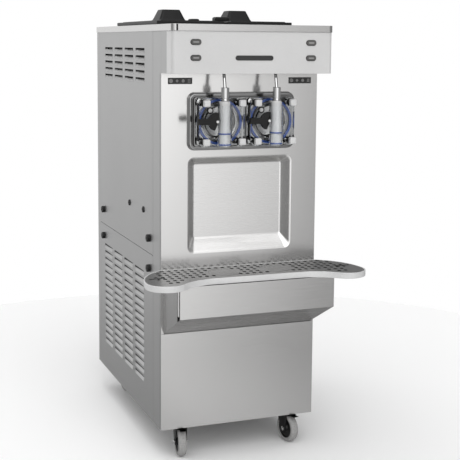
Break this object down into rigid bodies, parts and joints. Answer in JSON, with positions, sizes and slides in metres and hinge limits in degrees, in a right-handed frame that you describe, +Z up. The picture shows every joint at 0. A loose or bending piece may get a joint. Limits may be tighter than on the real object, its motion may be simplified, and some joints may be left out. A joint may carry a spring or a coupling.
{
  "type": "soft serve machine",
  "caption": "Floor-standing steel soft serve machine with twin draw heads, lever valves, lift-off hopper lids, a wide drip tray and swivel casters.",
  "frame": {"origin": "on the floor, at the centre of the whole machine's plan", "axes": "+Z up, +X to the right as seen from the front, +Y from the front to the back"},
  "size_m": [0.765, 1.112, 1.532],
  "materials": {
    "side_steel": "satin sheet",
    "front_steel": "bright brushed sheet",
    "polished_steel": "mirror polished sheet",
    "band_steel": "satin",
    "frame_steel": "dark painted",
    "white_cover": "glossy white moulding",
    "tray_white": "glossy white moulding",
    "grid_steel": "satin",
    "clear_plastic": "clear moulded plastic",
    "seal_blue": "soft blue rubber",
    "chrome": "bright turned",
    "white_plastic": "smooth white moulding",
    "black_plastic": "black moulding",
    "lid_black": "fine textured black moulding",
    "button_grey": "soft grey key",
    "board_green": "circuit board",
    "beater_white": "moulded",
    "machine_black": "semi gloss black paint",
    "fin_aluminium": "fins",
    "fan_grey": "moulded",
    "caster_black": "black moulding",
    "wheel_grey": "grey rubber tread"
  },
  "bodies": {
    "cabinet": {"base_frame": "frame_steel", "cable_gland": "black_plastic", "caster_plates": "frame_steel", "compressor": "machine_black", "condenser": "fin_aluminium", "control_board": "board_green", "corner_posts": "side_steel", "door_knobs": "white_plastic", "door_left": "clear_plastic", "door_right": "clear_plastic", "door_seals": "seal_blue", "door_studs": "chrome", "door_surround": "polished_steel", "drip_box": "front_steel", "drip_box_front": "front_steel", "drive_units": "machine_black", "fan_motor": "machine_black", "feed_tubes": "grid_steel", "freezing_cylinders": "grid_steel", "front_panel": "front_steel", "head_cover": "white_cover", "head_housing": "front_steel", "hoppers": "grid_steel", "lever_pins": "white_plastic", "louvre_panels": "side_steel", "lower_front_panel": "front_steel", "panel_plugs": "black_plastic", "rear_panel": "side_steel", "rod_grommets": "white_plastic", "side_panels": "side_steel", "top_cover": "band_steel"},
    "draw_valve_left": {"draw_plunger_left": "white_plastic", "plunger_seals_left": "seal_blue", "lift_rod_left": "chrome"},
    "draw_lever_left": {"draw_lever_left": "black_plastic"},
    "hopper_lid_left": {"hopper_lid_left": "lid_black"},
    "beater_left": {"beater_left": "beater_white"},
    "button_upper_left": {"button_upper_left": "button_grey"},
    "button_lower_left": {"button_lower_left": "button_grey"},
    "draw_valve_right": {"draw_plunger_right": "white_plastic", "plunger_seals_right": "seal_blue", "lift_rod_right": "chrome"},
    "draw_lever_right": {"draw_lever_right": "black_plastic"},
    "hopper_lid_right": {"hopper_lid_right": "lid_black"},
    "beater_right": {"beater_right": "beater_white"},
    "button_upper_right": {"button_upper_right": "button_grey"},
    "button_lower_right": {"button_lower_right": "button_grey"},
    "drip_tray": {"drip_tray": "tray_white"},
    "drip_grid": {"drip_grid": "grid_steel"},
    "fan": {"fan_blade": "fan_grey"},
    "caster_front_left": {"caster_fork_front_left": "caster_black"},
    "wheel_front_left": {"caster_wheel_front_left": "wheel_grey"},
    "caster_front_right": {"caster_fork_front_right": "caster_black"},
    "wheel_front_right": {"caster_wheel_front_right": "wheel_grey"},
    "caster_back_left": {"caster_fork_back_left": "caster_black"},
    "wheel_back_left": {"caster_wheel_back_left": "wheel_grey"},
    "caster_back_right": {"caster_fork_back_right": "caster_black"},
    "wheel_back_right": {"caster_wheel_back_right": "wheel_grey"},
    "brake_pedal_front_left": {"brake_pedal_front_left": "caster_black"},
    "brake_pedal_front_right": {"brake_pedal_front_right": "caster_black"}
  },
  "joints": [
    {"name": "draw_slide_left", "type": "slide", "parent": "cabinet", "child": "draw_valve_left", "axis": [0, 0, 1], "range_m": [0, 0.025]},
    {"name": "lever_turn_left", "type": "hinge", "parent": "cabinet", "child": "draw_lever_left", "pos_m": [-0.12, -0.416, 1.16], "axis": [0, -1, 0], "range_deg": [0, 25.5]},
    {"name": "lid_lift_left", "type": "slide", "parent": "cabinet", "child": "hopper_lid_left", "axis": [0, 0, 1], "range_m": [0, 0.08]},
    {"name": "beater_spin_left", "type": "hinge", "parent": "cabinet", "child": "beater_left", "pos_m": [-0.09, 0, 1.155], "axis": [0, 1, 0], "continuous": true},
    {"name": "press_upper_left", "type": "slide", "parent": "cabinet", "child": "button_upper_left", "axis": [0, 1, 0], "range_m": [0, 0.002], "stiffness_N_per_m": 400},
    {"name": "press_lower_left", "type": "slide", "parent": "cabinet", "child": "button_lower_left", "axis": [0, 1, 0], "range_m": [0, 0.002], "stiffness_N_per_m": 400},
    {"name": "draw_slide_right", "type": "slide", "parent": "cabinet", "child": "draw_valve_right", "axis": [0, 0, 1], "range_m": [0, 0.025]},
    {"name": "lever_turn_right", "type": "hinge", "parent": "cabinet", "child": "draw_lever_right", "pos_m": [0.062, -0.416, 1.16], "axis": [0, -1, 0], "range_deg": [0, 25.5]},
    {"name": "lid_lift_right", "type": "slide", "parent": "cabinet", "child": "hopper_lid_right", "axis": [0, 0, 1], "range_m": [0, 0.08]},
    {"name": "beater_spin_right", "type": "hinge", "parent": "cabinet", "child": "beater_right", "pos_m": [0.09, 0, 1.155], "axis": [0, 1, 0], "continuous": true},
    {"name": "press_upper_right", "type": "slide", "parent": "cabinet", "child": "button_upper_right", "axis": [0, 1, 0], "range_m": [0, 0.002], "stiffness_N_per_m": 400},
    {"name": "press_lower_right", "type": "slide", "parent": "cabinet", "child": "button_lower_right", "axis": [0, 1, 0], "range_m": [0, 0.002], "stiffness_N_per_m": 400},
    {"name": "tray_lift", "type": "slide", "parent": "cabinet", "child": "drip_tray", "axis": [0, 0, 1], "range_m": [0, 0.06]},
    {"name": "grid_lift", "type": "slide", "parent": "drip_tray", "child": "drip_grid", "axis": [0, 0, 1], "range_m": [0, 0.05]},
    {"name": "fan_spin", "type": "hinge", "parent": "cabinet", "child": "fan", "pos_m": [-0.03, -0.119, 0.319], "axis": [0, 1, 0], "continuous": true},
    {"name": "swivel_front_left", "type": "hinge", "parent": "cabinet", "child": "caster_front_left", "pos_m": [-0.196, -0.252, 0.11], "axis": [0, 0, 1], "continuous": true},
    {"name": "roll_front_left", "type": "hinge", "parent": "caster_front_left", "child": "wheel_front_left", "pos_m": [-0.20045, -0.28369, 0.05], "axis": [0.9903, -0.1392, 0], "continuous": true},
    {"name": "brake_front_left", "type": "hinge", "parent": "caster_front_left", "child": "brake_pedal_front_left", "pos_m": [-0.20017, -0.28171, 0.10345], "axis": [0.9903, -0.1392, 0], "range_deg": [0, 6]},
    {"name": "swivel_front_right", "type": "hinge", "parent": "cabinet", "child": "caster_front_right", "pos_m": [0.196, -0.252, 0.11], "axis": [0, 0, 1], "continuous": true},
    {"name": "roll_front_right", "type": "hinge", "parent": "caster_front_right", "child": "wheel_front_right", "pos_m": [0.20265, -0.2833, 0.05], "axis": [0.9781, 0.2079, 0], "continuous": true},
    {"name": "brake_front_right", "type": "hinge", "parent": "caster_front_right", "child": "brake_pedal_front_right", "pos_m": [0.20224, -0.28134, 0.10345], "axis": [0.9781, 0.2079, 0], "range_deg": [0, 6]},
    {"name": "swivel_back_left", "type": "hinge", "parent": "cabinet", "child": "caster_back_left", "pos_m": [-0.196, 0.476, 0.11], "axis": [0, 0, 1], "continuous": true},
    {"name": "roll_back_left", "type": "hinge", "parent": "caster_back_left", "child": "wheel_back_left", "pos_m": [-0.19377, 0.44408, 0.05], "axis": [0.9976, 0.0698, 0], "continuous": true},
    {"name": "swivel_back_right", "type": "hinge", "parent": "cabinet", "child": "caster_back_right", "pos_m": [0.196, 0.476, 0.11], "axis": [0, 0, 1], "continuous": true},
    {"name": "roll_back_right", "type": "hinge", "parent": "caster_back_right", "child": "wheel_back_right", "pos_m": [0.19265, 0.44417, 0.05], "axis": [0.9945, -0.1045, 0], "continuous": true}
  ],
  "couplings": [
    {"joint": "lever_turn_left", "follows": "draw_slide_left", "rad_per_m": 17.453},
    {"joint": "lever_turn_right", "follows": "draw_slide_right", "rad_per_m": 17.453}
  ]
}
